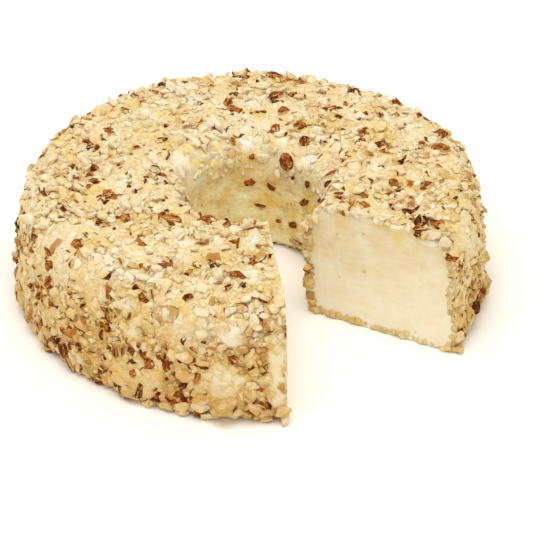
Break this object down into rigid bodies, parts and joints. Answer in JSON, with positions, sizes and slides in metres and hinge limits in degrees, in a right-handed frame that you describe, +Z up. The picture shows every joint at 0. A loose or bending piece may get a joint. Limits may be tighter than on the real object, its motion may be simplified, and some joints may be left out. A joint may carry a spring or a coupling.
{
  "type": "almond-coated cream cheese",
  "caption": "Ring-shaped soft cheese coated all over with chopped almonds, with a hole through its middle and a wedge cut out that leaves two flat faces.",
  "frame": {"origin": "centre of the flat foot, on the axis of the ring", "axes": "+Z up along the axis of the ring, -Y towards the open gap's left cut, +X to the right as the gap is seen from the front"},
  "size_m": [0.2012, 0.2025, 0.0581],
  "materials": {
    "almond_coat": "matt ivory soft cheese under a rough coat of pale chopped almonds with bits of brown skin"
  },
  "bodies": {
    "root": {"almond_cream_cheese": "almond_coat"}
  },
  "joints": []
}
